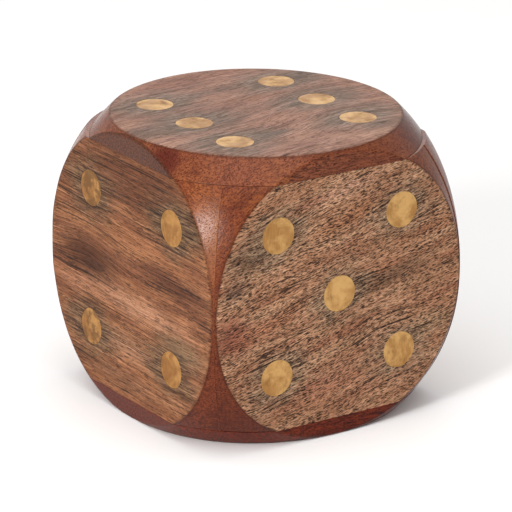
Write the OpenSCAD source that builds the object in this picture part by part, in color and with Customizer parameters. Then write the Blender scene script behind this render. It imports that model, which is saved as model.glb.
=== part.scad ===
// A big wooden die made as a keepsake box: four mitred walls, a base board and a lift-off lid,
// trimmed to one ball so that each side keeps a round flat face, with brass pips let in flush.

/* [Die] */
// Distance between two opposite flat faces
die_side = 80; // [60:1:120]
// Radius of the ball that trims the corners, as a share of the side
ball_share = 0.706; // [0.69:0.002:0.72]
// How far that ball stands off the middle of the die on the walls and base: right, back and up
ball_shift = [0.3, 0.6, -0.5]; // [-0.8:0.1:0.8]

/* [Boards] */
// Thickness of the four mitred walls
wall_t = 10; // [7:0.5:12]
// Thickness of the base board
base_t = 5; // [4.5:0.5:8]
// Thickness of the lid board
lid_t = 6.5; // [4.5:0.5:10]

/* [Lid fit] */
// Thickness of the plate glued under the lid, which finds the mouth of the box
lip_t = 4; // [2:0.5:8]
// Play between that plate and each wall
lip_play = 0.4; // [0.2:0.05:1]
// How far the ball surface of the lid is sanded back from that of the walls
lid_inset = 0.5; // [0:0.05:0.8]
// Seam between the lid and the top of the walls
lid_seam = 0.15; // [0.1:0.05:0.5]

/* [Pips] */
// Diameter of the brass rod that the pips are cut from
pip_d = 10; // [6:0.5:11]
// Length of each brass pip
pip_t = 3; // [1.5:0.5:4]
// Distance from the middle of a face to its outer pips, across and up
pip_offset = 19.8; // [16:0.1:20]
// Step between neighbouring pips in the two rows of the six
six_step = 19.4; // [16:0.1:20]
// Glue line round each pip, and under it
pip_glue = 0.05; // [0.02:0.01:0.1]

/* [Hidden] */
half = die_side / 2;
ball_r = die_side * ball_share;
wall_h = die_side - base_t - lid_t;
mouth = die_side - 2 * wall_t;
lip_w = mouth - 2 * lip_play;
cut_slack = 1;
round_detail = 160;

// Where the pips of each face lie, in that face's own plane
one_pips = [[0, 0]];
two_pips = [[-pip_offset, -pip_offset], [pip_offset, pip_offset]];
three_pips = concat(two_pips, one_pips);
four_pips = [for (x = [-1, 1], y = [-1, 1]) [x * pip_offset, y * pip_offset]];
five_pips = concat(four_pips, one_pips);
six_pips = [for (x = [-1, 1], y = [-1, 0, 1]) [x * pip_offset, y * six_step]];

// The name of each side, its pips, and the turn that brings a face from pointing up to its place
SIDES = [
    ["top", six_pips, [0, 0, 0]],
    ["front", five_pips, [90, 0, 0]],
    ["left", four_pips, [90, 0, -90]],
    ["right", three_pips, [90, 0, 90]],
    ["back", two_pips, [90, 0, 180]],
    ["base", one_pips, [180, 0, 0]]
];

PIP_NAMES = [for (s = SIDES) for (i = [1:len(s[1])]) str(s[0], "_pip_", i)];

// Moves a shape that is drawn on top of an upward face at the origin onto the given side
module on_side(side) translate([0, 0, half]) rotate(side[2]) translate([0, 0, half]) children();

// A brass disc, or the blind hole that it sits in when grown by the glue line
module pip_at(side, i, glue = 0) {
    cut = glue > 0 ? cut_slack : 0;
    on_side(side)
        translate([side[1][i][0], side[1][i][1], -pip_t - glue])
            cylinder(d = pip_d + 2 * glue, h = pip_t + glue + cut, $fn = round_detail);
}

module pip_holes(side) for (i = [0:len(side[1]) - 1]) pip_at(side, i, pip_glue);

module ball(shift, inset = 0) translate([0, 0, half] + shift) sphere(r = ball_r - inset, $fn = round_detail);

// One side wall seen from above: as wide as the die outside, mitred at 45 degrees to the mouth
module wall_plan()
    polygon([[-half, -half], [half, -half], [half - wall_t, wall_t - half], [wall_t - half, wall_t - half]]);

module wall(side, turn) {
    difference() {
        intersection() {
            rotate([0, 0, turn]) translate([0, 0, base_t]) linear_extrude(height = wall_h) wall_plan();
            ball(ball_shift);
        }
        pip_holes(side);
    }
}

module board(thickness) translate([-half, -half, 0]) cube([die_side, die_side, thickness]);

module lid() {
    color([0.46, 0.33, 0.26])
        difference() {
            intersection() {
                translate([0, 0, die_side - lid_t + lid_seam]) board(lid_t - lid_seam);
                ball([0, 0, 0], lid_inset);
            }
            pip_holes(SIDES[0]);
        }
}

module lid_lip() {
    color([0.58, 0.42, 0.29])
        translate([-lip_w / 2, -lip_w / 2, die_side - lid_t + lid_seam - lip_t])
            cube([lip_w, lip_w, lip_t]);
}

module front_wall() color([0.55, 0.36, 0.25]) wall(SIDES[1], 0);
module left_wall() color([0.52, 0.35, 0.25]) wall(SIDES[2], -90);
module right_wall() color([0.52, 0.35, 0.25]) wall(SIDES[3], 90);
module back_wall() color([0.55, 0.36, 0.25]) wall(SIDES[4], 180);

module base_board() {
    color([0.47, 0.29, 0.20])
        difference() {
            intersection() {
                board(base_t);
                ball(ball_shift);
            }
            pip_holes(SIDES[5]);
        }
}

module pip(side, i) color([0.78, 0.60, 0.32]) pip_at(side, i);

lid();
lid_lip();
front_wall();
back_wall();
left_wall();
right_wall();
base_board();
for (s = SIDES) for (i = [0:len(s[1]) - 1])
    pip(s, i);
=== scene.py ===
import math

import bmesh
import bpy
from mathutils import Matrix, Vector


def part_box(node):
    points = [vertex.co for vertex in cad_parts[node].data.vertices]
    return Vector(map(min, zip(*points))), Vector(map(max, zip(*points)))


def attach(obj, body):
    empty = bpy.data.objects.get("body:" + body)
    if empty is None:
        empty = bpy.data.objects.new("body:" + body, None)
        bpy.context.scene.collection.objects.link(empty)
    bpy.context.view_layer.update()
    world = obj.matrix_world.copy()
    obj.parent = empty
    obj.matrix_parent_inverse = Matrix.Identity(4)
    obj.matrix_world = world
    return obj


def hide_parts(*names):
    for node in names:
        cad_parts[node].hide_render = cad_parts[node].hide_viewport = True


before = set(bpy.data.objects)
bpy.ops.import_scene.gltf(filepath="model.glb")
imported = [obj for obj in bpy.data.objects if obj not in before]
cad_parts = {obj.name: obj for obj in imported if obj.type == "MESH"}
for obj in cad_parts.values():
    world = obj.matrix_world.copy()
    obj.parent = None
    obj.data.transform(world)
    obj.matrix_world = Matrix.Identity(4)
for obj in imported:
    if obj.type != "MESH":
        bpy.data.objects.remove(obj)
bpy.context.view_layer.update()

mm = 0.001
hair = 1e-5                                        # what lies closer than this counts as touching
scene = bpy.context.scene

dieShape = {
    "ballShare": 1.412,                            # radius of the ball that trims the corners, in half sides
    "ballShift": (0.3, 0.6, -0.5),                 # how far, in mm, it stands off the middle, save on the lid
}

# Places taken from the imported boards
frontLow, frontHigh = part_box("front_wall")
lidLow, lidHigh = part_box("lid")
lipLow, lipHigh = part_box("lid_lip")
half = lidHigh.x                                   # middle of the die to a flat face
middle = Vector((0, 0, half))
wallBottom, wallTop = frontLow.z, frontHigh.z
wallThickness = frontHigh.y - frontLow.y
ballRadius = half * dieShape["ballShare"]
ballShift = Vector(dieShape["ballShift"]) * mm

# For each side: the way it faces, and the ways that run right and up on it when looked at squarely
sides = {
    "top": ((0, 0, 1), (1, 0, 0), (0, 1, 0)),
    "front": ((0, -1, 0), (1, 0, 0), (0, 0, 1)),
    "left": ((-1, 0, 0), (0, -1, 0), (0, 0, 1)),
    "right": ((1, 0, 0), (0, 1, 0), (0, 0, 1)),
    "back": ((0, 1, 0), (-1, 0, 0), (0, 0, 1)),
    "base": ((0, 0, -1), (1, 0, 0), (0, -1, 0)),
}
pipCounts = {"top": 6, "front": 5, "left": 4, "right": 3, "back": 2, "base": 1}


def pipNames(side):
    return [f"{side}_pip_{i + 1}" for i in range(pipCounts[side])]


def pipPlaces(side):
    # Middle of each pip on its side, right and up from the middle of the face, in mm
    _, right, up = (Vector(v) for v in sides[side])
    places = []
    for name in pipNames(side):
        low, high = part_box(name)
        spot = (low + high) / 2 - middle
        places.append((spot.dot(right) / mm, spot.dot(up) / mm))
    return places


# Node helpers, for shader trees and geometry trees alike
def addNode(tree, kind, **settings):
    node = tree.nodes.new(kind)
    for name, value in settings.items():
        setattr(node, name, value)
    return node


def plug(tree, socket, value):
    if isinstance(value, bpy.types.NodeSocket):
        tree.links.new(value, socket)
    elif value is not None:
        socket.default_value = value


def maths(tree, operation, a, b=None, c=None):
    node = addNode(tree, "ShaderNodeMath", operation=operation)
    for socket, value in zip(node.inputs, (a, b, c)):
        plug(tree, socket, value)
    return node.outputs[0]


def plus(tree, a, b):
    return maths(tree, "ADD", a, b)


def minus(tree, a, b):
    return maths(tree, "SUBTRACT", a, b)


def times(tree, a, b):
    return maths(tree, "MULTIPLY", a, b)


def over(tree, a, b):
    return maths(tree, "DIVIDE", a, b)


def larger(tree, a, b):
    return maths(tree, "MAXIMUM", a, b)


def smaller(tree, a, b):
    return maths(tree, "MINIMUM", a, b)


def vectors(tree, operation, a, b=None, scale=None):
    node = addNode(tree, "ShaderNodeVectorMath", operation=operation)
    plug(tree, node.inputs[0], a)
    if operation == "SCALE":
        plug(tree, node.inputs[3], scale)
    else:
        plug(tree, node.inputs[1], b)
    return node.outputs["Value" if operation in ("LENGTH", "DISTANCE", "DOT_PRODUCT") else "Vector"]


def split(tree, vector):
    node = addNode(tree, "ShaderNodeSeparateXYZ")
    plug(tree, node.inputs[0], vector)
    return node.outputs[0], node.outputs[1], node.outputs[2]


def join(tree, x, y, z):
    node = addNode(tree, "ShaderNodeCombineXYZ")
    for socket, value in zip(node.inputs, (x, y, z)):
        plug(tree, socket, value)
    return node.outputs[0]


def ramp(tree, value, low, high, toLow=0.0, toHigh=1.0, smooth=True):
    node = addNode(tree, "ShaderNodeMapRange",
                   interpolation_type="SMOOTHSTEP" if smooth else "LINEAR")
    for name, setting in (("Value", value), ("From Min", low), ("From Max", high),
                          ("To Min", toLow), ("To Max", toHigh)):
        plug(tree, node.inputs[name], setting)
    return node.outputs["Result"]


def noise(tree, vector, scale, detail=2.0, roughness=0.5, distortion=0.0, seed=0.0):
    node = addNode(tree, "ShaderNodeTexNoise", noise_dimensions="4D")
    for name, setting in (("Vector", vector), ("W", seed), ("Scale", scale), ("Detail", detail),
                          ("Roughness", roughness), ("Distortion", distortion)):
        plug(tree, node.inputs[name], setting)
    return node.outputs["Fac"]


def blendColour(tree, amount, first, second, mode="MIX"):
    node = addNode(tree, "ShaderNodeMix", data_type="RGBA", blend_type=mode, clamp_factor=True)
    plug(tree, node.inputs["Factor"], amount)
    plug(tree, node.inputs["A"], first)
    plug(tree, node.inputs["B"], second)
    return node.outputs["Result"]


def addBump(tree, shader, height, strength, distance):
    bump = addNode(tree, "ShaderNodeBump")
    plug(tree, bump.inputs["Height"], height)
    plug(tree, bump.inputs["Strength"], strength)
    plug(tree, bump.inputs["Distance"], distance)
    plug(tree, shader.inputs["Normal"], bump.outputs["Normal"])


def newMaterial(name):
    material = bpy.data.materials.new(name)
    material.use_nodes = True
    return material, material.node_tree, material.node_tree.nodes["Principled BSDF"]


def srgb(red, green, blue):
    def linear(level):
        level /= 255
        return level / 12.92 if level <= 0.04045 else ((level + 0.055) / 1.055) ** 2.4
    return (linear(red), linear(green), linear(blue), 1.0)


# What every board shares. Lengths in mm.
woodLook = {
    "creaseFall": 0.16,            # the stain starts this far below the flat
    "creaseBlend": 0.14,           # and is full this much further down
    "creaseRagged": 0.2,           # how far its edge strays
    "rimDark": 0.35,               # thin burnt line round each flat
    "stainDepth": 0.7,             # how deep the stain shows on the joint faces
    "lidInset": 0.5,               # the lid's ball lies this much further in
    "flatSkin": (0.5, 0.3),        # depths below a flat side where the stain starts and is full
    "endSkin": (0.45, 0.3),        # the same for the sawn ends
    "haloStretch": 1.9,            # how much further the smudge round a pip runs along the grain
    "haloStretched": 0.65,         # how much of the smudge does so
    "wander": (30.0, 13.0, 25.0),  # how slowly the grain wanders along, across and into the board
    "layerStep": 0.137,            # keeps the pore layers from falling on each other
    "speck": (0.95, 0.34),         # size of the specks in the stain, along and across the grain
    "speckDark": 0.9,
    "fleck": (1.8, 0.45),          # size of the flecks in the stain, the same way
    "low": (18.0, -36.0),          # heights between which painted shade darkens the stain towards the table
    "paintedLowShade": 0.70,               # and by how much
    "bareRough": (0.50, 0.64),
    "stainRough": (0.15, 0.24),
    "specular": 0.14,
    "relief": 0.12,                # depth of the pores
    "reliefStrength": 0.5,
    "pore": srgb(62, 44, 38),      # this tone and the next five multiply what is under them
    "speckTone": srgb(150, 108, 88),
    "paintedLowShadeTone": srgb(170, 104, 80),
    "edgeLineTone": srgb(110, 84, 76),
    "rawSpeckTone": srgb(120, 90, 72),
    "rimTone": srgb(110, 80, 74),
    "raw": srgb(186, 144, 104),
    "rawDark": srgb(150, 104, 70),
}

# Patterns drawn out along the grain: length and width in mm, detail, seed, roughness
streaks = {
    "ground": (22, 3.6, 4.0, 1.0, 0.65),
    "bands": (18, 3.0, 4.0, 2.0, 0.6),
    "ragged": (11, 1.6, 4.0, 8.0, 0.62),
    "smudge": (8, 2.4, 3.0, 12.0, 0.55),
    "grey": (6.0, 0.7, 4.0, 13.0, 0.65),
    "openGrain": (26, 5.0, 2.0, 41.0, 0.55),
    "poreClouds": (14, 4.0, 3.0, 15.0, 0.55),
    "stainBands": (14, 1.6, 3.0, 17.0, 0.55),
    "edgeLines": (7, 0.5, 4.0, 19.0, 0.7),
    "raw": (20, 2.5, 4.0, 21.0, 0.55),
    "sheen": (6.0, 1.2, 2.0, 30.0, 0.55),
}

# One board's grain: u runs along the board and v across it, from the middle of its face, in mm.
# The grain lies at the tilt (degrees), wanders by the wave, and its patches have ragged edges.
# The fibre is (length, width, how strongly it shows).
# A pore layer is (length, width, share of cells filled, fatness, how dark).
# The lines are (length, width, how few, how dark). The ends are the two tones of sawn end grain.
# A halo is the grey smudge round each pip: (how far it spreads, strength, its two tones).
# A blotch is a cloud in the stain, or a painted highlight: (place from the middle of the die, reach,
# strength, colour).
# A patch is (u, v, reach along the grain, reach across it, strength, colour).
# A swirl is (u, v, reach along, reach across, how far it pushes the grain aside).
grains = {
    "front": {
        "tilt": 14, "seed": 3.1, "wave": 0.8, "ragged": 1.1, "fibre": (2.2, 0.28, 0.9),
        "light": srgb(178, 135, 103), "mid": srgb(158, 112, 82), "deep": srgb(132, 80, 56),
        "pores": [(2.3, 0.46, 0.97, 0.29, 1.0), (1.5, 0.38, 0.90, 0.28, 0.9)],
        "lines": (10, 0.42, 0.56, 0.9),
        "halo": (4.6, 0.80, srgb(154, 127, 100), srgb(104, 80, 62)),
        "patches": [(17.0, 2.0, 17, 3.2, 0.75, srgb(98, 66, 46)), (-34, -6, 7, 8.0, 0.75, srgb(126, 66, 50)),
                    (4, 21, 16, 2.6, 0.60, srgb(144, 92, 60)), (-22, -5, 15, 3.4, 0.50, srgb(160, 98, 68)),
                    (-3, -24, 13, 5.0, 0.50, srgb(158, 100, 76)), (7, -28, 14, 5.0, 0.40, srgb(146, 92, 68)),
                    (26, 12, 12, 2.4, 0.55, srgb(146, 94, 62)), (2, 29, 14, 3.0, 0.60, srgb(184, 138, 112)),
                    (-29, 15, 9, 6.0, 0.75, srgb(98, 74, 57)),
                    (-33, 7, 5, 3.4, 0.75, srgb(84, 62, 52)), (-12, 3, 12, 3.0, 0.45, srgb(186, 136, 102)),
                    (30, -14, 8, 4.0, 0.55, srgb(158, 126, 96)), (13, -13, 12, 3.4, 0.55, srgb(168, 128, 98)),
                    (28, 0, 10, 6.0, 0.45, srgb(138, 98, 70))],
        "swirls": [],
        "stain": srgb(126, 65, 38), "stainDark": srgb(82, 37, 24), "stainWarm": srgb(134, 74, 40),
        "blotchesAndHighlights": [],
    },
    "left": {
        "tilt": -1, "seed": 11.7, "wave": 0.35, "ragged": 0.6, "fibre": (16.0, 0.30, 1.0),
        "light": srgb(154, 102, 67), "mid": srgb(124, 76, 48), "deep": srgb(100, 57, 35),
        "pores": [(5.0, 0.50, 0.60, 0.22, 0.85), (2.2, 0.42, 0.6, 0.24, 0.6)],
        "lines": (44, 0.40, 0.555, 0.75),
        "halo": (7.0, 0.80, srgb(122, 94, 66), srgb(64, 46, 34)),
        "patches": [(0, 27, 46, 11.0, 0.85, srgb(90, 51, 30)), (2, 11.0, 24, 2.6, 0.75, srgb(138, 88, 57)),
                    (-27, 9.0, 12, 3.6, 0.80, srgb(140, 92, 60)), (20, 4.0, 24, 3.8, 0.92, srgb(90, 51, 32)),
                    (-12, 3.0, 24, 4.4, 0.80, srgb(116, 70, 45)), (-21, -0.4, 18, 6.4, 1.0, srgb(74, 40, 22)),
                    (4, -7.5, 30, 4.4, 0.85, srgb(168, 120, 90)),
                    (-27, -9.0, 12, 3.2, 0.70, srgb(164, 112, 82)),
                    (0, -20, 24, 5.0, 0.55, srgb(160, 118, 88)), (25, -13, 14, 4.4, 0.70, srgb(134, 106, 78)),
                    (-4, -30, 30, 3.6, 0.70, srgb(120, 80, 54)), (30, 22, 12, 6.0, 0.70, srgb(92, 66, 45))],
        "swirls": [(-21, 4.0, 16, 8, 2.0)],
        "stain": srgb(134, 72, 42), "stainDark": srgb(88, 41, 26), "stainWarm": srgb(148, 84, 46),
        # painted highlight on the left wall's corner, partly a lighter tan in the stain
        "blotchesAndHighlights": [((-37, -35, 19), 15, 0.7, srgb(142, 90, 60))],
    },
    "top": {
        "tilt": 5, "seed": 23.3, "wave": 1.1, "ragged": 1.5, "fibre": (10.0, 0.34, 0.85),
        "light": srgb(160, 120, 100), "mid": srgb(140, 102, 86), "deep": srgb(118, 80, 66),
        "pores": [(4.2, 0.70, 0.60, 0.22, 0.6), (2.0, 0.60, 0.45, 0.24, 0.5)],
        "lines": (24, 0.50, 0.59, 0.6),
        "halo": (9.0, 0.80, srgb(126, 108, 94), srgb(88, 76, 66)),
        "patches": [(0, 33, 26, 4.0, 0.50, srgb(130, 84, 68)), (4, -9, 12, 5.0, 0.50, srgb(158, 114, 94)),
                    (-2, 21, 14, 3.0, 0.55, srgb(104, 82, 70)), (-3, 2, 10, 4.0, 0.45, srgb(112, 82, 68)),
                    (-36, -1, 8, 6.0, 0.60, srgb(92, 76, 66)), (-8, -19, 7, 2.6, 0.75, srgb(76, 68, 64)),
                    (30, 20, 10, 5.0, 0.50, srgb(112, 92, 80)), (26, -30, 16, 5.0, 0.45, srgb(128, 104, 86)),
                    (9, 10, 12, 3.0, 0.45, srgb(156, 108, 84)), (-24, -30, 12, 4.0, 0.45, srgb(110, 94, 82))],
        "swirls": [(20, -8, 22, 20, 7.0), (-34, 0, 10, 8, 3.0)],
        "ends": (srgb(92, 49, 30), srgb(44, 25, 17)),
        "stain": srgb(134, 74, 47), "stainDark": srgb(90, 44, 30), "stainWarm": srgb(142, 82, 48),
        "blotchesAndHighlights": [((-40, -15, 37.5), 7.5, 0.9, srgb(84, 32, 22)),
                     ((8, -40, 37), 20, 0.5, srgb(108, 54, 34)),
                     ((34, -28, 36), 18, 0.75, srgb(88, 40, 29))],
    },
    "right": {
        "tilt": -4, "seed": 37.9, "wave": 0.5, "ragged": 0.9, "fibre": (10.0, 0.30, 0.9),
        "light": srgb(168, 120, 88), "mid": srgb(148, 100, 72), "deep": srgb(124, 78, 54),
        "pores": [(4.4, 0.60, 0.78, 0.24, 0.95), (1.8, 0.50, 0.65, 0.26, 0.7)],
        "lines": (34, 0.42, 0.565, 0.85),
        "halo": (5.2, 0.80, srgb(138, 112, 86), srgb(80, 60, 46)),
        "patches": [(-10, -7, 26, 4.0, 0.65, srgb(108, 68, 48)), (16, 17, 20, 3.0, 0.55, srgb(150, 92, 64)),
                    (-6, 26, 24, 4.0, 0.45, srgb(130, 96, 72)), (22, -9, 14, 4.0, 0.60, srgb(102, 64, 46)),
                    (-14, 8, 18, 3.0, 0.50, srgb(176, 122, 90)), (4, -26, 22, 5.0, 0.45, srgb(160, 108, 82))],
        "swirls": [(20, -6, 12, 7, 3.0)],
        "stain": srgb(127, 63, 37), "stainDark": srgb(83, 36, 24), "stainWarm": srgb(135, 71, 39),
        "blotchesAndHighlights": [],
    },
    "back": {
        "tilt": -9, "seed": 51.2, "wave": 0.9, "ragged": 1.1, "fibre": (2.2, 0.28, 0.9),
        "light": srgb(181, 138, 105), "mid": srgb(158, 110, 79), "deep": srgb(132, 81, 56),
        "pores": [(2.3, 0.46, 0.97, 0.29, 1.0), (1.5, 0.38, 0.88, 0.28, 0.9)],
        "lines": (10, 0.42, 0.565, 0.9),
        "halo": (5.2, 0.85, srgb(156, 130, 104), srgb(102, 80, 62)),
        "patches": [(-12, 6, 20, 3.4, 0.65, srgb(102, 68, 48)), (18, -16, 16, 3.4, 0.55, srgb(152, 90, 64)),
                    (8, 22, 16, 3.0, 0.50, srgb(160, 98, 70)), (-24, -14, 14, 4.0, 0.50, srgb(142, 110, 84)),
                    (28, 6, 8, 5.0, 0.55, srgb(126, 70, 52)), (0, -8, 16, 3.2, 0.45, srgb(176, 122, 90))],
        "swirls": [],
        "stain": srgb(129, 65, 38), "stainDark": srgb(85, 37, 24), "stainWarm": srgb(137, 72, 40),
        "blotchesAndHighlights": [],
    },
    "base": {
        "tilt": 2, "seed": 67.4, "wave": 1.4, "ragged": 1.2, "fibre": (8.0, 0.32, 0.8),
        "light": srgb(160, 112, 86), "mid": srgb(138, 94, 70), "deep": srgb(114, 72, 54),
        "pores": [(3.8, 0.62, 0.76, 0.25, 0.9), (1.8, 0.52, 0.60, 0.26, 0.6)],
        "lines": (20, 0.5, 0.60, 0.7),
        "halo": (5.0, 0.80, srgb(124, 100, 80), srgb(80, 62, 50)),
        "patches": [(-6, -8, 26, 5.0, 0.55, srgb(106, 66, 48)), (12, 13, 18, 4.0, 0.50, srgb(150, 102, 76))],
        "swirls": [(10, 12, 14, 9, 4.0)],
        "ends": (srgb(104, 50, 36), srgb(68, 32, 25)),
        "stain": srgb(142, 62, 32), "stainDark": srgb(92, 41, 24), "stainWarm": srgb(148, 71, 36),
        "blotchesAndHighlights": [],
    },
}


def woodMaterial(side):
    look, grain = woodLook, grains[side]
    material, tree, shader = newMaterial(f"{side}Wood")
    facing, right, up = sides[side]

    # Place on the board, in mm from the middle of the die: u right, v up, w outwards
    place = vectors(tree, "SUBTRACT", addNode(tree, "ShaderNodeTexCoord").outputs["Object"], tuple(middle))
    place = vectors(tree, "SCALE", place, scale=1 / mm)
    u = vectors(tree, "DOT_PRODUCT", place, right)
    v = vectors(tree, "DOT_PRODUCT", place, up)
    w = vectors(tree, "DOT_PRODUCT", place, facing)
    depth = vectors(tree, "LENGTH", place)
    px, py, pz = split(tree, vectors(tree, "ABSOLUTE", place))

    # Grain directions: turned by the tilt, pushed aside by the swirls, and made to wander a little
    lean = math.radians(grain["tilt"])

    def alongGrain(a, b):
        return plus(tree, times(tree, a, math.cos(lean)), times(tree, b, math.sin(lean)))

    def acrossGrain(a, b):
        return minus(tree, times(tree, b, math.cos(lean)), times(tree, a, math.sin(lean)))

    def distanceTo(spotU, spotV, reachAlong, reachAcross):
        # One at the rim of an ellipse that lies along the grain
        offU, offV = minus(tree, u, spotU), minus(tree, v, spotV)
        return vectors(tree, "LENGTH", join(tree, over(tree, alongGrain(offU, offV), reachAlong),
                                            over(tree, acrossGrain(offU, offV), reachAcross), 0.0))

    def onGrain(along, across, into):
        return join(tree, over(tree, s, along), over(tree, t, across), over(tree, w, into))

    s = alongGrain(u, v)
    t = acrossGrain(u, v)
    for spotU, spotV, reachAlong, reachAcross, push in grain["swirls"]:
        pushed = ramp(tree, distanceTo(spotU, spotV, reachAlong, reachAcross), 0.0, 1.5, -push, 0.0)
        t = plus(tree, t, pushed)
    wander = noise(tree, onGrain(*look["wander"]), 1.0, 2.0, 0.45, seed=grain["seed"])
    t = maths(tree, "MULTIPLY_ADD", minus(tree, wander, 0.5), grain["wave"] * 6, t)

    def drawnOut(length, width, detail, seed, roughness):
        return noise(tree, onGrain(length, width, width), 1.0, detail, roughness, seed=grain["seed"] + seed)

    def streak(name):
        return drawnOut(*streaks[name])

    def dimmed(amount, tone, colour):
        return blendColour(tree, amount, colour, tone, "MULTIPLY")

    # Ground colour of the bare wood, then its bands and clouds
    colour = blendColour(tree, ramp(tree, streak("ground"), 0.38, 0.64), grain["mid"], grain["light"])
    colour = blendColour(tree, ramp(tree, streak("bands"), 0.48, 0.70, 0.0, 0.7), colour, grain["deep"])
    ragged = times(tree, minus(tree, streak("ragged"), 0.5), grain["ragged"])
    for spotU, spotV, reachAlong, reachAcross, strength, tint in grain["patches"]:
        off = plus(tree, distanceTo(spotU, spotV, reachAlong, reachAcross), ragged)
        colour = blendColour(tree, ramp(tree, off, 0.15, 1.25, strength, 0.0), colour, tint)

    # Grey smudges round the pips, drawn out along the grain
    stretched = look["haloStretched"]
    nearest = None
    for pipU, pipV in pipPlaces(side):
        away = plus(tree, times(tree, distanceTo(pipU, pipV, look["haloStretch"], 1.0), stretched),
                    times(tree, distanceTo(pipU, pipV, 1.0, 1.0), 1 - stretched))
        nearest = away if nearest is None else smaller(tree, nearest, away)
    smudge = times(tree, minus(tree, streak("smudge"), 0.5), 12.0)
    haloReach, haloShow, haloPale, haloDark = grain["halo"]
    halo = ramp(tree, plus(tree, nearest, smudge), 3.6, 5.0 + haloReach, haloShow, 0.0)
    greyed = blendColour(tree, ramp(tree, streak("grey"), 0.42, 0.60), haloPale, haloDark)
    colour = blendColour(tree, halo, colour, greyed)

    # Fine fibres: the light ones are also paler, and the dark ones redder
    def fibreShade(pattern, show):
        return ramp(tree, pattern, 0.28, 0.72, 1 - show, 1 + show, smooth=False)
    fibreLength, fibreWidth, fibreShow = grain["fibre"]
    fibre = drawnOut(fibreLength, fibreWidth, 3.0, 9.0, 0.7)
    finer = drawnOut(fibreLength * 0.35, fibreWidth * 0.8, 2.0, 10.0, 0.6)
    shade = times(tree, fibreShade(fibre, fibreShow * 0.6), fibreShade(finer, fibreShow * 0.3))
    shade = join(tree, shade, maths(tree, "POWER", shade, 1.15), maths(tree, "POWER", shade, 1.4))
    colour = dimmed(1.0, shade, colour)

    # Long dark lines, most of them where the grain is open or smudged
    lineLength, lineWidth, fewness, lineDark = grain["lines"]
    where = larger(tree, ramp(tree, streak("openGrain"), 0.40, 0.58), 0.35)
    where = larger(tree, where, times(tree, halo, 1.2))
    line = ramp(tree, drawnOut(lineLength, lineWidth, 2.0, 40.0, 0.5), fewness, fewness + 0.05)
    colour = dimmed(times(tree, times(tree, line, where), lineDark), look["pore"], colour)

    # Open pores: dark dashes along the grain, in layers of their own length
    crowding = ramp(tree, streak("poreClouds"), 0.34, 0.58, 0.55, 1.0)
    pits = None
    for number, (length, width, fill, fatness, dark) in enumerate(grain["pores"]):
        cells = addNode(tree, "ShaderNodeTexVoronoi", voronoi_dimensions="2D", feature="F1")
        plug(tree, cells.inputs["Vector"], join(tree, over(tree, s, length), over(tree, t, width), 0.0))
        plug(tree, cells.inputs["Scale"], 1.0 + look["layerStep"] * number)
        cellRed, cellGreen, cellBlue = split(tree, cells.outputs["Color"])
        reach = ramp(tree, cellRed, 0.0, 1.0, fatness * 0.75, fatness * 1.45, smooth=False)
        dash = ramp(tree, over(tree, cells.outputs["Distance"], reach), 0.76, 1.10, 1.0, 0.0)
        shown = maths(tree, "LESS_THAN", cellGreen, times(tree, crowding, fill))
        strength = ramp(tree, cellBlue, 0.0, 1.0, 0.5, 1.0, smooth=False)
        dash = times(tree, times(tree, dash, shown), strength)
        colour = dimmed(times(tree, dash, dark), look["pore"], colour)
        pits = dash if pits is None else larger(tree, pits, dash)

    # Stain on what the ball cut, down to a thin skin, and on the side edges of the lid and base boards
    edge = times(tree, minus(tree, noise(tree, place, 0.45, 3.0, seed=2.0), 0.5), look["creaseRagged"])
    fall = minus(tree, half / mm, plus(tree, w, edge))
    ballCut = ramp(tree, fall, look["creaseFall"], look["creaseFall"] + look["creaseBlend"])
    rim = times(tree, ramp(tree, fall, 0.02, look["creaseFall"]), ramp(tree, fall, 0.9, 0.3))
    skinStart = ballRadius / mm - ballShift.length / mm - look["lidInset"] - look["stainDepth"]
    skin = ramp(tree, depth, skinStart - 0.3, skinStart)
    flatStart, flatFull = (half / mm - below for below in look["flatSkin"])
    flats = larger(tree, ramp(tree, larger(tree, px, py), flatStart, flatFull),
                   ramp(tree, pz, flatStart, flatFull))
    outside = larger(tree, skin, flats)

    # The stain is even in tone, with fine dark specks where the ball cuts across the pores
    alongSpeck, acrossSpeck = look["speck"]
    dots = addNode(tree, "ShaderNodeTexVoronoi", voronoi_dimensions="3D", feature="F1")
    plug(tree, dots.inputs["Vector"], onGrain(alongSpeck, acrossSpeck, acrossSpeck))
    plug(tree, dots.inputs["Scale"], 1.0)
    dotRed, _, _ = split(tree, dots.outputs["Color"])
    dot = times(tree, ramp(tree, dots.outputs["Distance"], 0.18, 0.62, 1.0, 0.0),
                ramp(tree, dotRed, 0.0, 0.9, 0.1, 1.0))
    alongFleck, acrossFleck = look["fleck"]
    fleck = noise(tree, onGrain(alongFleck, acrossFleck, acrossFleck), 1.0, 3.0, 0.65, seed=5.0)
    cloud = ramp(tree, noise(tree, place, 0.09, 3.0, 0.55, seed=grain["seed"]), 0.34, 0.66)
    stain = blendColour(tree, cloud, grain["stain"], grain["stainWarm"])
    bands = ramp(tree, streak("stainBands"), 0.46, 0.70, 0.0, 0.6)
    stain = blendColour(tree, bands, stain, grain["stainDark"])
    stain = blendColour(tree, ramp(tree, fleck, 0.40, 0.62, 0.0, 0.75), stain, grain["stainDark"])
    # Clouds in the stain, and a painted highlight on the left wall's corner
    for spot, reach, strength, tint in grain["blotchesAndHighlights"]:
        off = vectors(tree, "DISTANCE", place, spot)
        stain = blendColour(tree, ramp(tree, off, reach * 0.3, reach, strength, 0.0), stain, tint)
    stain = dimmed(times(tree, dot, look["speckDark"]), look["speckTone"], stain)
    # Painted shade: the stain is darkened towards the table, below the given heights
    height = vectors(tree, "DOT_PRODUCT", place, (0.0, 0.0, 1.0))
    stain = dimmed(ramp(tree, height, *look["low"], 0.0, look["paintedLowShade"]), look["paintedLowShadeTone"], stain)
    if "ends" in grain:
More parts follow.
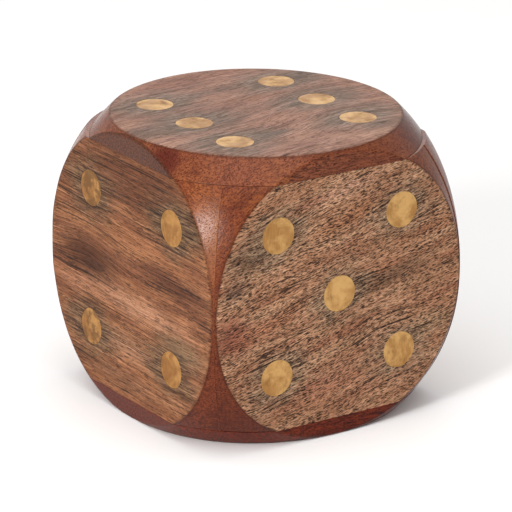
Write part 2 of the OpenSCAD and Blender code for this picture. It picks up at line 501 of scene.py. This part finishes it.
        # Sawn ends of the boards show on their left and right edges, dark and mottled
        endStart, endFull = (half / mm - below for below in look["endSkin"])
        sawn = times(tree, ramp(tree, px, endStart, endFull), 0.85)
        mottle = noise(tree, join(tree, 0.0, over(tree, v, 0.7), over(tree, w, 0.5)), 1.0, 4.0, 0.7)
        ends = blendColour(tree, ramp(tree, mottle, 0.40, 0.60), *grain["ends"])
        stain = blendColour(tree, sawn, stain, ends)
        # and long dark lines on the edges that run along the grain
        edgeLine = ramp(tree, streak("edgeLines"), 0.46, 0.64)
        edgeLine = times(tree, edgeLine, ramp(tree, py, endStart, endFull, 0.0, 0.8))
        stain = dimmed(edgeLine, look["edgeLineTone"], stain)

    # Raw wood inside the box and on the joint faces
    raw = blendColour(tree, ramp(tree, streak("raw"), 0.35, 0.65), look["raw"], look["rawDark"])
    raw = dimmed(times(tree, dot, 0.35), look["rawSpeckTone"], raw)

    colour = blendColour(tree, ballCut, colour, stain)
    colour = dimmed(times(tree, rim, look["rimDark"]), look["rimTone"], colour)
    colour = blendColour(tree, outside, raw, colour)
    plug(tree, shader.inputs["Base Color"], colour)
    shader.inputs["Specular IOR Level"].default_value = look["specular"]

    # Satin where it is stained, dull where it is bare
    bare = ramp(tree, streak("sheen"), 0.3, 0.7, *look["bareRough"], smooth=False)
    satin = ramp(tree, noise(tree, place, 0.9, 3.0, seed=7.0), 0.3, 0.7, *look["stainRough"], smooth=False)
    mixRough = addNode(tree, "ShaderNodeMix", data_type="FLOAT")
    plug(tree, mixRough.inputs["Factor"], times(tree, ballCut, outside))
    plug(tree, mixRough.inputs["A"], bare)
    plug(tree, mixRough.inputs["B"], satin)
    plug(tree, shader.inputs["Roughness"], mixRough.outputs["Result"])

    pits = larger(tree, times(tree, pits, minus(tree, 1.0, ballCut)), times(tree, dot, 0.3))
    relief = maths(tree, "MULTIPLY_ADD", pits, -1.0, times(tree, fibre, 0.5))
    addBump(tree, shader, relief, look["reliefStrength"], look["relief"] * mm)
    return material


# Each pip is rubbed a little differently, because its marks come from its place
brassLook = {
    "bright": srgb(203, 161, 103),
    "dull": srgb(166, 121, 70),
    "patch": srgb(128, 90, 52),
    "tarnish": 0.45,               # how strongly the stained patches show
    "scratch": 0.35,
    # painted shade and a warm tint on the left side's pips
    "leftPipShade": srgb(240, 224, 200),
    "tarnished": 0.85,             # the left side's pips towards the back are the most stained
    "rough": (0.38, 0.52),
    "relief": 0.04,                # depth of the scratches, in mm
    "reliefStrength": 0.2,
}


def brassMaterial():
    look = brassLook
    material, tree, shader = newMaterial("sandedBrass")
    place = vectors(tree, "SCALE", addNode(tree, "ShaderNodeTexCoord").outputs["Object"], scale=1 / mm)
    cloud = noise(tree, place, 0.16, 4.0, 0.6, distortion=0.5, seed=1.0)
    mark = noise(tree, place, 0.34, 4.0, 0.6, seed=4.0)
    fleck = noise(tree, place, 1.6, 3.0, 0.6, seed=8.0)
    rub = noise(tree, vectors(tree, "MULTIPLY", place, (3.2, 3.2, 0.4)), 1.0, 3.0, 0.6, seed=6.0)
    placeX, placeY, _ = split(tree, place)
    leftSide = ramp(tree, placeX, 1.0 - half / mm, 0.5 - half / mm)
    flecked = ramp(tree, fleck, 0.50, 0.75, 0.0, look["tarnish"] * 0.5)
    colour = blendColour(tree, ramp(tree, cloud, 0.40, 0.60), look["dull"], look["bright"])
    colour = blendColour(tree, ramp(tree, mark, 0.54, 0.68, 0.0, look["tarnish"]), colour, look["patch"])
    colour = blendColour(tree, flecked, colour, look["patch"])
    colour = blendColour(tree, ramp(tree, rub, 0.45, 0.72, 0.0, look["scratch"]), colour, look["bright"])
    stained = times(tree, leftSide, ramp(tree, placeY, -10.0, 5.0, 0.15, 1.0))
    stained = times(tree, stained, ramp(tree, mark, 0.44, 0.56, 0.0, look["tarnished"]))
    # Painted shade: the left side's pips are darkened and warmed
    colour = blendColour(tree, leftSide, colour, look["leftPipShade"], "MULTIPLY")
    colour = blendColour(tree, stained, colour, look["patch"])
    plug(tree, shader.inputs["Base Color"], colour)
    plug(tree, shader.inputs["Metallic"], 1.0)
    plug(tree, shader.inputs["Roughness"], ramp(tree, mark, 0.35, 0.65, *look["rough"]))
    relief = maths(tree, "MULTIPLY_ADD", rub, 0.6, fleck)
    addBump(tree, shader, relief, look["reliefStrength"], look["relief"] * mm)
    return material


def geometryTree(name, sizes, arrows):
    # A tree with one number input for each size and one vector input for each arrow
    tree = bpy.data.node_groups.new(name, "GeometryNodeTree")
    inputs = [("Geometry", "NodeSocketGeometry")]
    inputs += [(label, "NodeSocketFloat") for label in sizes]
    inputs += [(label, "NodeSocketVector") for label in arrows]
    inputs += [("Material", "NodeSocketMaterial")]
    for label, kind in inputs:
        tree.interface.new_socket(label, in_out="INPUT", socket_type=kind)
    tree.interface.new_socket("Geometry", in_out="OUTPUT", socket_type="NodeSocketGeometry")
    return tree, addNode(tree, "NodeGroupInput"), addNode(tree, "NodeGroupOutput")


def finishTree(tree, geometry, materialSocket, outputNode):
    whole = addNode(tree, "GeometryNodeRealizeInstances")
    plug(tree, whole.inputs["Geometry"], geometry)
    painted = addNode(tree, "GeometryNodeSetMaterial")
    plug(tree, painted.inputs["Geometry"], whole.outputs["Geometry"])
    plug(tree, painted.inputs["Material"], materialSocket)
    plug(tree, outputNode.inputs["Geometry"], painted.outputs["Geometry"])


def meshFromTree(name, tree, mesh, values):
    # Runs a geometry tree on a mesh and keeps the result as a plain mesh
    carrier = bpy.data.objects.new(name + "Carrier", mesh)
    scene.collection.objects.link(carrier)
    modifier = carrier.modifiers.new("build", "NODES")
    modifier.node_group = tree
    for item in tree.interface.items_tree:
        if item.in_out == "INPUT" and item.name in values:
            modifier[item.identifier] = values[item.name]
    graph = bpy.context.evaluated_depsgraph_get()
    result = bpy.data.meshes.new_from_object(carrier.evaluated_get(graph))
    carrier.modifiers.remove(modifier)
    bpy.data.objects.remove(carrier)
    result.name = name
    return result


# The skin of the die round one face: a flat disc that runs over a small eased edge onto the ball.
# The blank is a flat fan whose radius is the angle from the face's own axis, so its rings stay true.
skinShape = {
    "ease": 0.55 * mm,             # how softly the flat runs into the ball
    "sideEase": 0.5 * mm,          # the same where a board's own side faces meet the ball
    "cornerBulge": 0.8 * mm,       # corners where three sides meet are left a little fuller
    "wobble": 0.3 * mm,            # hand sanding: how far the ball strays
    "wobbleScale": 1.3,
    "flatRings": (0.3, 0.6, 0.85, 1.0),    # rings of the blank on the flat, as shares of its radius
    "easeSpread": 1.6,             # degrees on each side of the edge that have close rings
    "easeRings": 12,
}


def skinTree():
    tree, given, result = geometryTree(
        "ballTrimmedFace",
        ["Half Side", "Ball Radius", "Side Clamp", "Corner Bulge", "Ease", "Side Ease", "Wobble",
         "Wobble Scale", "Seed"],
        ["Ball Shift", "Facing", "Right", "Up", "Middle"])
    value = given.outputs

    def softMinimum(a, b, width):
        gap = maths(tree, "ABSOLUTE", minus(tree, a, b))
        near = over(tree, larger(tree, minus(tree, width, gap), 0.0), width)
        dip = times(tree, times(tree, near, near), times(tree, width, 0.25))
        return minus(tree, smaller(tree, a, b), dip)

    def along(label, amount):
        return vectors(tree, "SCALE", value[label], scale=amount)

    fanX, fanY, _ = split(tree, addNode(tree, "GeometryNodeInputPosition").outputs[0])
    angle = vectors(tree, "LENGTH", join(tree, fanX, fanY, 0.0))
    turn = maths(tree, "ARCTAN2", fanY, fanX)
    outwards = maths(tree, "COSINE", angle)
    sideways = maths(tree, "SINE", angle)
    direction = vectors(tree, "ADD", along("Right", times(tree, sideways, maths(tree, "COSINE", turn))),
                        along("Up", times(tree, sideways, maths(tree, "SINE", turn))))
    direction = vectors(tree, "ADD", direction, along("Facing", outwards))

    stray = noise(tree, direction, value["Wobble Scale"], 1.0, seed=value["Seed"])
    stray = times(tree, minus(tree, stray, 0.5), value["Wobble"])
    # The bulge is full where the direction has three equal parts, and nothing where one of them is zero
    dx, dy, dz = split(tree, direction)
    corner = times(tree, times(tree, dx, dy), dz)
    fuller = times(tree, times(tree, times(tree, corner, corner), 27.0), value["Corner Bulge"])
    # Where a ray from the middle of the die leaves a ball that stands a little off it
    toCentre = vectors(tree, "DOT_PRODUCT", direction, value["Ball Shift"])
    offset = vectors(tree, "LENGTH", value["Ball Shift"])
    chord = minus(tree, times(tree, toCentre, toCentre), times(tree, offset, offset))
    chord = maths(tree, "MULTIPLY_ADD", value["Ball Radius"], value["Ball Radius"], chord)
    chord = maths(tree, "SQRT", chord)
    ball = plus(tree, plus(tree, toCentre, chord), plus(tree, stray, fuller))
    flat = over(tree, value["Half Side"], outwards)
    reach = softMinimum(flat, ball, value["Ease"])
    point = vectors(tree, "SCALE", direction, scale=reach)

    # Boards that lie across the die are also held to its four upright flats
    px, py, pz = split(tree, point)
    wide = larger(tree, maths(tree, "ABSOLUTE", px), maths(tree, "ABSOLUTE", py))
    wide = larger(tree, wide, 1e-6)                # never zero, because it divides
    held = over(tree, softMinimum(wide, value["Side Clamp"], value["Side Ease"]), wide)
    point = join(tree, times(tree, px, held), times(tree, py, held), pz)
    placed = addNode(tree, "GeometryNodeSetPosition")
    plug(tree, placed.inputs["Geometry"], value["Geometry"])
    plug(tree, placed.inputs["Position"], vectors(tree, "ADD", point, value["Middle"]))
    finishTree(tree, placed.outputs["Geometry"], value["Material"], result)
    return tree


def fanBlank(name, rings, spokes):
    # A flat fan of rings about the origin, with a vertex in the middle
    bm = bmesh.new()
    centre = bm.verts.new((0, 0, 0))
    turns = [math.tau * i / spokes for i in range(spokes)]
    rows = []
    for angle in rings:
        rows.append([bm.verts.new((angle * math.cos(turn), angle * math.sin(turn), 0)) for turn in turns])
    for i in range(spokes):
        j = (i + 1) % spokes
        bm.faces.new((centre, rows[0][i], rows[0][j]))
        for inner, outer in zip(rows, rows[1:]):
            bm.faces.new((inner[i], outer[i], outer[j], inner[j]))
    mesh = bpy.data.meshes.new(name)
    bm.to_mesh(mesh)
    bm.free()
    return mesh


def ringAngles(lastAngle, arcStep):
    # Rings are wide on the flat, close over the eased edge, and even on the ball
    crease = math.acos(half / ballRadius)
    spread = math.radians(skinShape["easeSpread"])
    rings = [math.atan(math.tan(crease - spread) * share) for share in skinShape["flatRings"]]
    steps = skinShape["easeRings"]
    rings += [crease + spread * (2 * k / steps - 1) for k in range(1, steps + 1)]
    count = max(1, round((lastAngle - crease - spread) * ballRadius / arcStep))
    rings += [crease + spread + (lastAngle - crease - spread) * k / count for k in range(1, count + 1)]
    return rings


boardShape = {
    "seamEase": 0.16 * mm,         # eased edge along every seam
    "seamRows": (0.3, 0.65, 1.0),  # rows of vertices on it, as shares of its width
    "seamDrop": 0.06 * mm,         # how deep that edge falls
    "seamClose": 0.08 * mm,        # the lid's edge comes down to within a hair of the walls
    "mouthBevel": 0.4 * mm,
    "bevelSegments": 3,
    "smoothAngle": 38,
    "wallSkin": {"arcStep": 0.6 * mm, "spokes": 288, "lastAngle": 58},
    "discSkin": {"arcStep": 0.3 * mm, "spokes": 540, "lastAngle": 56},     # lid and base boards
}
# A proud board's ball is that much larger, and the seed is that of its hand sanding
boardSpots = {
    "top": {"node": "lid", "body": "lid", "slot": "lid_wood", "proud": -0.5 * mm, "seed": 9.0},
    "front": {"node": "front_wall", "body": "box", "slot": "wall_wood", "proud": -0.17 * mm, "seed": 4.0},
    "left": {"node": "left_wall", "body": "box", "slot": "wall_wood", "proud": -0.1 * mm, "seed": 4.0},
    "right": {"node": "right_wall", "body": "box", "slot": "wall_wood", "proud": 0.0, "seed": 4.0},
    "back": {"node": "back_wall", "body": "box", "slot": "wall_wood", "proud": 0.05 * mm, "seed": 4.0},
    "base": {"node": "base_board", "body": "box", "slot": "base_wood", "proud": -0.05 * mm, "seed": 4.0},
}


def boardLimits(side):
    # Planes that bound a board, as (point, normal pointing out of the board)
    facing, right, _ = (Vector(v) for v in sides[side])
    upwards, downwards = Vector((0, 0, 1)), Vector((0, 0, -1))
    if side == "top":
        return [(Vector((0, 0, lidLow.z - boardShape["seamClose"])), downwards)]
    if side == "base":
        return [(Vector((0, 0, wallBottom)), upwards)]
    mitres = [(middle, (right - facing).normalized()), (middle, (-right - facing).normalized())]
    return mitres + [(Vector((0, 0, wallTop)), upwards), (Vector((0, 0, wallBottom)), downwards)]


def inside(vert, limit):
    point, normal = limit
    return (point - vert.co).dot(normal)


def trimSkin(bm, limits, shape):
    # Cuts the skin at its seams, adds rows of vertices beside them, and lets the edge fall away
    def bisect(point, normal, clear):
        geometry = bm.verts[:] + bm.edges[:] + bm.faces[:]
        bmesh.ops.bisect_plane(bm, geom=geometry, dist=hair, plane_co=point, plane_no=normal,
                               clear_outer=clear, clear_inner=False)
    for point, normal in limits:
        bisect(point, normal, True)
    for point, normal in limits:
        for share in shape["seamRows"]:
            bisect(point - normal * shape["seamEase"] * share, normal, False)
    bm.normal_update()
    moves = {}
    for vert in bm.verts:
        offset = Vector()
        for limit in limits:
            gap = inside(vert, limit)
            if gap < shape["seamEase"]:
                fall = 1 - math.sqrt(max(0.0, 1 - (1 - max(gap, 0) / shape["seamEase"]) ** 2))
                offset -= vert.normal * fall * shape["seamDrop"]
        for limit in limits:
            if inside(vert, limit) < 2 * hair:
                offset -= limit[1] * offset.dot(limit[1])
        moves[vert] = offset
    for vert, offset in moves.items():
        vert.co += offset


def rimVerts(bm, limit, direction):
    rim = [v for v in bm.verts if v.is_boundary and abs(inside(v, limit)) < 3 * hair]
    return sorted(rim, key=lambda v: v.co.dot(direction))


def closeWall(bm, side, limits, shape):
    # Joint faces, top and bottom edges and the inner face of a mitred wall
    facing, right, _ = (Vector(v) for v in sides[side])
    mouth = half - wallThickness

    def innerVert(sign, z):
        return bm.verts.new(facing * mouth + right * mouth * sign + Vector((0, 0, z)))
    lowLeft, lowRight = innerVert(-1, wallBottom), innerVert(1, wallBottom)
    topRight, topLeft = innerVert(1, wallTop), innerVert(-1, wallTop)
    upwards = Vector((0, 0, 1))
    rims = [rimVerts(bm, limit, upwards) for limit in limits[:2]]
    rims += [rimVerts(bm, limit, right) for limit in limits[2:]]
    bm.faces.new(rims[0] + [topRight, lowRight])
    bm.faces.new(rims[1] + [topLeft, lowLeft])
    bm.faces.new(rims[2] + [topRight, topLeft])
    bm.faces.new(rims[3] + [lowRight, lowLeft])
    bm.faces.new((lowLeft, lowRight, topRight, topLeft))
    # The bevel comes out crossed unless all faces already look outwards
    bmesh.ops.recalc_face_normals(bm, faces=bm.faces[:])
    bmesh.ops.bevel(bm, geom=[bm.edges.get((topLeft, topRight))], offset=shape["mouthBevel"],
                    segments=shape["bevelSegments"], profile=0.5, affect="EDGES")


def closeDisc(bm):
    rim = [e for e in bm.edges if e.is_boundary]
    bmesh.ops.contextual_create(bm, geom=rim)


# Blind holes for the brass
holeShape = {
    "glue": 0.05 * mm,             # how much wider and deeper than the pip a hole is
    "start": 1.0 * mm,             # how far outside the face the drill starts
    "segments": 96,
}


def cutPipHoles(board, side):
    facing, right, up = (Vector(v) for v in sides[side])
    turn = Matrix((right, up, facing)).transposed().to_4x4()
    glue, start = holeShape["glue"], holeShape["start"]
    bm = bmesh.new()
    for name in pipNames(side):
        low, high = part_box(name)
        size = high - low
        radius = abs(size.dot(right)) / 2 + glue
        thickness = abs(size.dot(facing))
        place = Matrix.Translation((low + high) / 2 + facing * (start / 2 - glue / 2)) @ turn
        bmesh.ops.create_cone(bm, cap_ends=True, segments=holeShape["segments"], matrix=place,
                              radius1=radius, radius2=radius, depth=thickness + glue + start)
    mesh = bpy.data.meshes.new(side + "Drills")
    bm.to_mesh(mesh)
    bm.free()
    drills = bpy.data.objects.new(side + "Drills", mesh)
    scene.collection.objects.link(drills)
    modifier = board.modifiers.new("holes", "BOOLEAN")
    modifier.operation = "DIFFERENCE"
    modifier.solver = "EXACT"
    modifier.object = drills
    graph = bpy.context.evaluated_depsgraph_get()
    drilled = bpy.data.meshes.new_from_object(board.evaluated_get(graph))
    board.modifiers.remove(modifier)
    board.data = drilled
    bpy.data.objects.remove(drills)


def smoothBy(mesh, degrees):
    # Smooth, except at sharp edges and round the large flat faces, which stay flat in the light
    mesh.polygons.foreach_set("use_smooth", [True] * len(mesh.polygons))
    mesh.set_sharp_from_angle(angle=math.radians(degrees))
    largeFace = 100 * mm * mm
    slightAngle = math.radians(5)
    bm = bmesh.new()
    bm.from_mesh(mesh)
    for face in bm.faces:
        if face.calc_area() > largeFace:
            for edge in face.edges:
                if edge.calc_face_angle(0.0) > slightAngle:
                    edge.smooth = False
    bm.to_mesh(mesh)
    bm.free()


def makeBoard(side, tree, material):
    spot, shape, skin = boardSpots[side], boardShape, skinShape
    facing, right, up = sides[side]
    across = side in ("top", "base")
    detail = shape["discSkin" if across else "wallSkin"]
    rings = ringAngles(math.radians(detail["lastAngle"]), detail["arcStep"])
    blank = fanBlank(side + "Blank", rings, detail["spokes"])
    mesh = meshFromTree(side + "Board", tree, blank, {
        "Half Side": half,
        "Ball Radius": ballRadius + spot["proud"],
        "Ball Shift": (0, 0, 0) if side == "top" else tuple(ballShift),
        "Side Clamp": half if across else 1.0,     # a metre holds nothing back
        "Corner Bulge": 0.0 if side == "top" else skin["cornerBulge"],
        "Ease": skin["ease"],
        "Side Ease": skin["sideEase"],
        "Wobble": skin["wobble"],
        "Wobble Scale": skin["wobbleScale"],
        "Seed": spot["seed"],
        "Facing": facing,
        "Right": right,
        "Up": up,
        "Middle": tuple(middle),
        "Material": material,
    })
    limits = boardLimits(side)
    bm = bmesh.new()
    bm.from_mesh(mesh)
    trimSkin(bm, limits, shape)
    if across:
        closeDisc(bm)
    else:
        closeWall(bm, side, limits, shape)
    bmesh.ops.recalc_face_normals(bm, faces=bm.faces[:])
    bm.to_mesh(mesh)
    bm.free()
    board = bpy.data.objects.new(spot["node"] + "_wood", mesh)
    scene.collection.objects.link(board)
    cutPipHoles(board, side)
    smoothBy(board.data, shape["smoothAngle"])
    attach(board, spot["body"])
    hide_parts(spot["node"])


pipShape = {
    "rimDrop": 0.035 * mm,         # the rim is rubbed a little lower than the middle
    "rimPower": 14.0,              # the higher, the narrower that rub
    "dish": 0.02 * mm,
    "ripple": 0.02 * mm,
    "rippleScale": 0.5,            # waves per mm
    "sides": 72,
    "rings": 12,
    "smoothAngle": 40,
}


def pipTree():
    shape = pipShape
    tree, given, result = geometryTree(
        "brassPip", ["Radius", "Thickness", "Rim Drop", "Dish", "Ripple", "Seed"], ["Place", "Turn"])
    value = given.outputs
    rod = addNode(tree, "GeometryNodeMeshCylinder", fill_type="TRIANGLE_FAN")
    for label, setting in (("Vertices", shape["sides"]), ("Side Segments", 1),
                           ("Fill Segments", shape["rings"]), ("Radius", value["Radius"]),
                           ("Depth", value["Thickness"])):
        plug(tree, rod.inputs[label], setting)
    x, y, z = split(tree, addNode(tree, "GeometryNodeInputPosition").outputs[0])
    fromAxis = join(tree, x, y, 0.0)
    share = over(tree, vectors(tree, "LENGTH", fromAxis), value["Radius"])
    rim = times(tree, maths(tree, "POWER", share, shape["rimPower"]), value["Rim Drop"])
    hollow = times(tree, minus(tree, 1.0, maths(tree, "POWER", share, 2.0)), value["Dish"])
    ripple = noise(tree, vectors(tree, "SCALE", fromAxis, scale=1 / mm), shape["rippleScale"], 2.0,
                   seed=value["Seed"])
    drop = plus(tree, plus(tree, rim, hollow), times(tree, ripple, value["Ripple"]))
    drop = times(tree, drop, maths(tree, "GREATER_THAN", z, 0.0))
    shaped = addNode(tree, "GeometryNodeSetPosition")
    plug(tree, shaped.inputs["Geometry"], rod.outputs["Mesh"])
    plug(tree, shaped.inputs["Offset"], join(tree, 0.0, 0.0, times(tree, drop, -1.0)))
    moved = addNode(tree, "GeometryNodeTransform")
    plug(tree, moved.inputs["Geometry"], shaped.outputs["Geometry"])
    plug(tree, moved.inputs["Translation"], value["Place"])
    plug(tree, moved.inputs["Rotation"], value["Turn"])
    finishTree(tree, moved.outputs["Geometry"], value["Material"], result)
    return tree


def makePip(side, number, tree, material):
    name = pipNames(side)[number]
    low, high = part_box(name)
    size = high - low
    facing, right, up = (Vector(v) for v in sides[side])
    mesh = meshFromTree(name + "Brass", tree, bpy.data.meshes.new(name), {
        "Radius": abs(size.dot(right)) / 2,
        "Thickness": abs(size.dot(facing)),
        "Rim Drop": pipShape["rimDrop"],
        "Dish": pipShape["dish"],
        "Ripple": pipShape["ripple"],
        "Seed": 10.0 * number + len(side),         # so that no two pips ripple alike
        "Place": tuple((low + high) / 2),
        "Turn": tuple(Matrix((right, up, facing)).transposed().to_euler()),
        "Material": material,
    })
    smoothBy(mesh, pipShape["smoothAngle"])
    pip = bpy.data.objects.new(name + "_brass", mesh)
    scene.collection.objects.link(pip)
    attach(pip, boardSpots[side]["body"])
    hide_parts(name)


# The plate glued under the lid
lipShape = {
    "corner": 1.2 * mm,            # rounding of its four upright edges
    "cornerSegments": 4,
    "edge": 0.35 * mm,             # easing of its lower edges
    "edgeSegments": 3,
    "smoothAngle": 35,
}


def makeLip(material):
    shape = lipShape
    bm = bmesh.new()
    bmesh.ops.create_cube(bm, size=1.0)
    for vert in bm.verts:
        vert.co = Vector([low if c < 0 else high for c, low, high in zip(vert.co, lipLow, lipHigh)])
    upright = [e for e in bm.edges if abs(e.verts[0].co.z - e.verts[1].co.z) > 10 * hair]
    bmesh.ops.bevel(bm, geom=upright, offset=shape["corner"], segments=shape["cornerSegments"], profile=0.5,
                    affect="EDGES")
    lower = [e for e in bm.edges if all(v.co.z < lipLow.z + hair for v in e.verts)]
    bmesh.ops.bevel(bm, geom=lower, offset=shape["edge"], segments=shape["edgeSegments"], profile=0.5,
                    affect="EDGES")
    mesh = bpy.data.meshes.new("lidLip")
    bm.to_mesh(mesh)
    bm.free()
    mesh.materials.append(material)
    smoothBy(mesh, shape["smoothAngle"])
    lip = bpy.data.objects.new("lid_lip_wood", mesh)
    scene.collection.objects.link(lip)
    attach(lip, "lid")
    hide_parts("lid_lip")


print("materials")
woods = {side: woodMaterial(side) for side in sides}
brass = brassMaterial()

print("boards")
skinBuilder = skinTree()
for side in sides:
    makeBoard(side, skinBuilder, woods[side])
makeLip(woods["top"])

print("pips")
pipBuilder = pipTree()
for side, count in pipCounts.items():
    for number in range(count):
        makePip(side, number, pipBuilder, brass)

print("stage")
stageLook = {"floor": srgb(250, 249, 248), "floorRough": 0.9, "size": 12.0, "world": 0.68}
# Each lamp: azimuth and elevation it shines from, distance, width, watts
lamps = {
    "softboxLeft": (-66, 26, 0.9, 0.18, 4.6),
    "overhead": (-30, 76, 1.1, 1.0, 5.0),
    "backCard": (146, 24, 1.6, 0.8, 2.0),
}
cameraPlace = {
    "azimuth": -34.26,
    "elevation": 19.46,
    "distance": 1.157,
    "aim": (0.0, -0.0006, 0.0388),
    "roll": 0.5,
    "lens": 299.7,
    "sensor": 36,
    "clip": (0.01, 50),
}


def fromAngles(azimuth, elevation):
    # Azimuth runs from the front to the right, and elevation up from the floor, both in degrees
    a, e = math.radians(azimuth), math.radians(elevation)
    return Vector((math.sin(a) * math.cos(e), -math.cos(a) * math.cos(e), math.sin(e)))


reach = stageLook["size"] / 2
corners = [(-reach, -reach, 0), (reach, -reach, 0), (reach, reach, 0), (-reach, reach, 0)]
floorMesh = bpy.data.meshes.new("floor")
floorMesh.from_pydata(corners, [], [(0, 1, 2, 3)])
floor = bpy.data.objects.new("floor", floorMesh)
scene.collection.objects.link(floor)
floorPaint, _, floorShader = newMaterial("paleFloor")
floorShader.inputs["Base Color"].default_value = stageLook["floor"]
floorShader.inputs["Roughness"].default_value = stageLook["floorRough"]
floorMesh.materials.append(floorPaint)

world = bpy.data.worlds.new("studio")
scene.world = world
world.use_nodes = True
sky = world.node_tree.nodes["Background"]
sky.inputs["Color"].default_value = (1.0, 1.0, 1.0, 1.0)
sky.inputs["Strength"].default_value = stageLook["world"]

for name, (azimuth, elevation, distance, width, watts) in lamps.items():
    data = bpy.data.lights.new(name, "AREA")
    data.shape = "SQUARE"
    data.size = width
    data.energy = watts
    lamp = bpy.data.objects.new(name, data)
    back = fromAngles(azimuth, elevation)
    lamp.location = middle + back * distance
    lamp.rotation_mode = "QUATERNION"
    lamp.rotation_quaternion = back.to_track_quat("Z", "Y")
    scene.collection.objects.link(lamp)

cameraData = bpy.data.cameras.new("camera")
cameraData.lens = cameraPlace["lens"]
cameraData.sensor_width = cameraPlace["sensor"]
cameraData.clip_start, cameraData.clip_end = cameraPlace["clip"]
camera = bpy.data.objects.new("camera", cameraData)
back = fromAngles(cameraPlace["azimuth"], cameraPlace["elevation"])
roll = Matrix.Rotation(math.radians(cameraPlace["roll"]), 3, "Z")
camera.location = Vector(cameraPlace["aim"]) + back * cameraPlace["distance"]
camera.rotation_mode = "QUATERNION"
camera.rotation_quaternion = ((-back).to_track_quat("-Z", "Y").to_matrix() @ roll).to_quaternion()
scene.collection.objects.link(camera)
scene.camera = camera
scene.view_settings.view_transform = "Standard"
